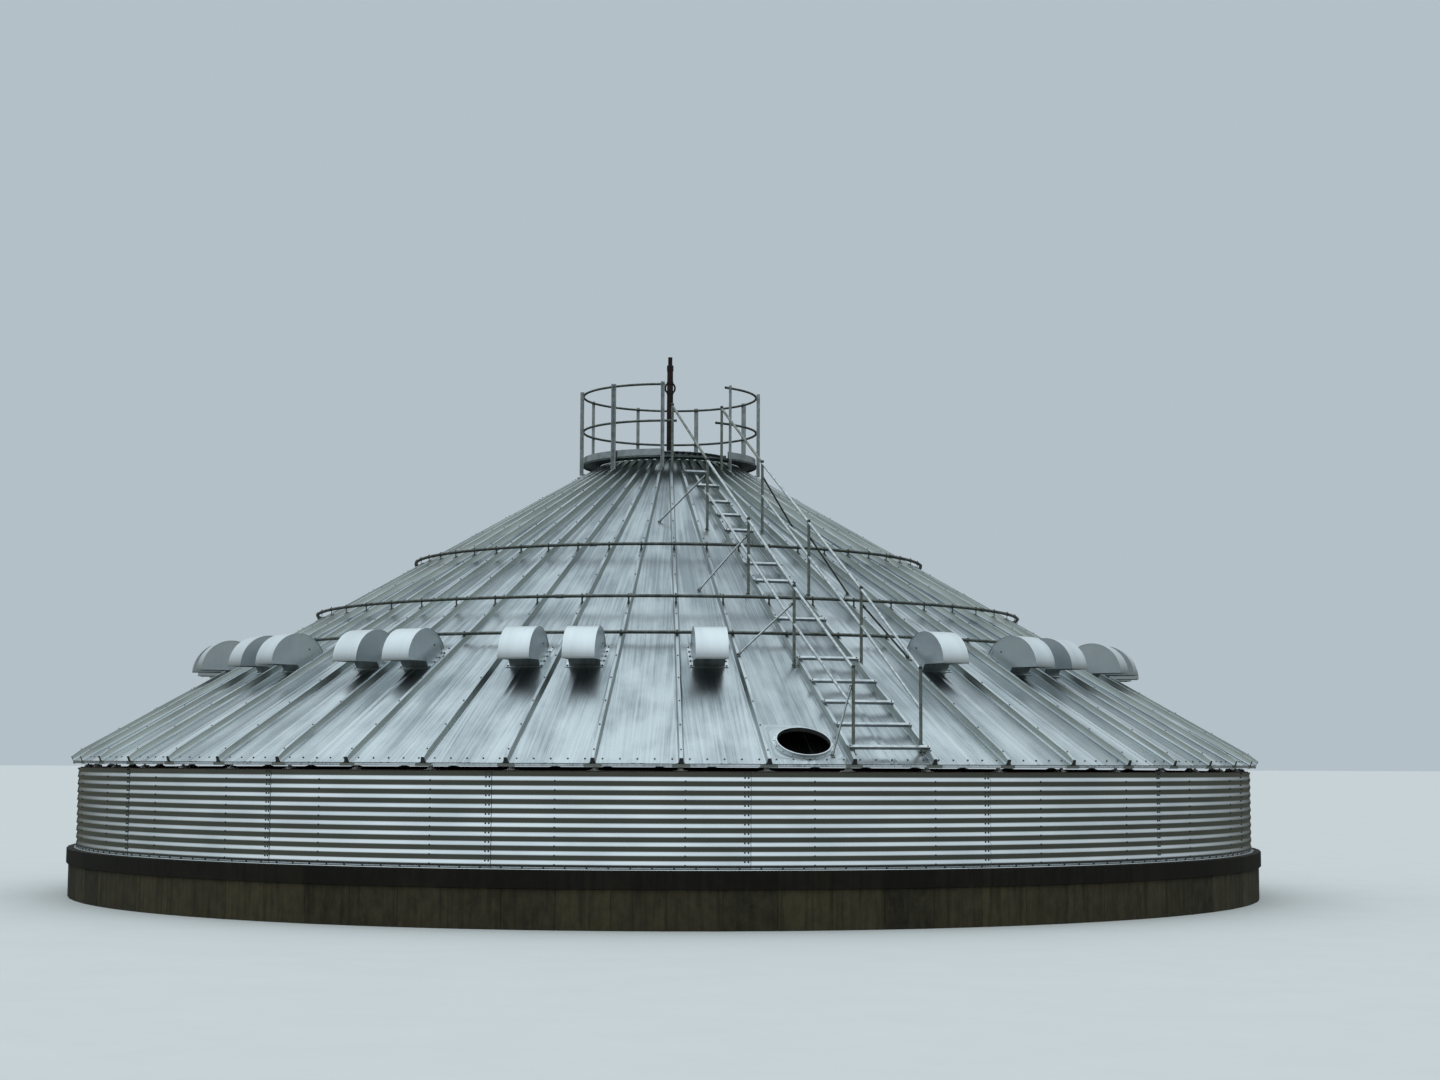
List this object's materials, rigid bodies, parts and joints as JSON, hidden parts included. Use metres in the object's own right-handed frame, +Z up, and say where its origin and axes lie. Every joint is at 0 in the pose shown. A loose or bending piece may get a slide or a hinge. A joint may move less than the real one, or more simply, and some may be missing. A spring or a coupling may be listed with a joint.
{
  "type": "round steel grain silo with cone roof",
  "caption": "Low round grain silo: corrugated steel wall ring, ribbed cone roof with vents, roof stair and peak platform, on a round concrete base.",
  "frame": {"origin": "middle of the foundation's underside, at ground level on the silo's axis", "axes": "+Z up along the silo's axis, -Y towards the front from which the picture was taken, +X to its right"},
  "size_m": [16.72, 16.72, 7.7676],
  "materials": {
    "concrete": "rough cast concrete, damp and stained",
    "wall_sheet": "hot-dip galvanised, dull spangle",
    "roof_sheet": "hot-dip galvanised, satin",
    "galvanised_pipe": "galvanised, weathered matte",
    "rusted_steel": "rusted, rough"
  },
  "bodies": {
    "root": {"foundation_wall": "concrete", "floor_slab": "concrete", "wall_sheet_01": "wall_sheet", "wall_sheet_02": "wall_sheet", "wall_sheet_03": "wall_sheet", "wall_sheet_04": "wall_sheet", "wall_sheet_05": "wall_sheet", "wall_sheet_06": "wall_sheet", "wall_sheet_07": "wall_sheet", "wall_sheet_08": "wall_sheet", "wall_sheet_09": "wall_sheet", "wall_sheet_10": "wall_sheet", "wall_sheet_11": "wall_sheet", "wall_sheet_12": "wall_sheet", "wall_sheet_13": "wall_sheet", "wall_sheet_14": "wall_sheet", "wall_sheet_15": "wall_sheet", "wall_sheet_16": "wall_sheet", "wall_sheet_17": "wall_sheet", "wall_sheet_18": "wall_sheet", "roof_sector_01": "roof_sheet", "roof_sector_02": "roof_sheet", "roof_sector_03": "roof_sheet", "roof_sector_04": "roof_sheet", "roof_sector_05": "roof_sheet", "roof_sector_06": "roof_sheet", "roof_sector_07": "roof_sheet", "roof_sector_08": "roof_sheet", "roof_sector_09": "roof_sheet", "roof_ring_upper": "galvanised_pipe", "roof_ring_middle": "galvanised_pipe", "roof_ring_lower": "galvanised_pipe", "stair_step_01": "galvanised_pipe", "stair_step_02": "galvanised_pipe", "stair_step_03": "galvanised_pipe", "stair_step_04": "galvanised_pipe", "stair_step_05": "galvanised_pipe", "stair_step_06": "galvanised_pipe", "stair_step_07": "galvanised_pipe", "stair_step_08": "galvanised_pipe", "stair_step_09": "galvanised_pipe", "stair_step_10": "galvanised_pipe", "stair_step_11": "galvanised_pipe", "stair_step_12": "galvanised_pipe", "stair_step_13": "galvanised_pipe", "stair_rail_left": "galvanised_pipe", "stair_rail_right": "galvanised_pipe", "platform_floor": "galvanised_pipe", "platform_toe_board": "roof_sheet", "platform_rail_01": "galvanised_pipe", "platform_rail_02": "galvanised_pipe", "platform_rail_03": "galvanised_pipe", "platform_rail_04": "galvanised_pipe", "peak_collar": "galvanised_pipe", "mast": "rusted_steel"}
  },
  "joints": []
}
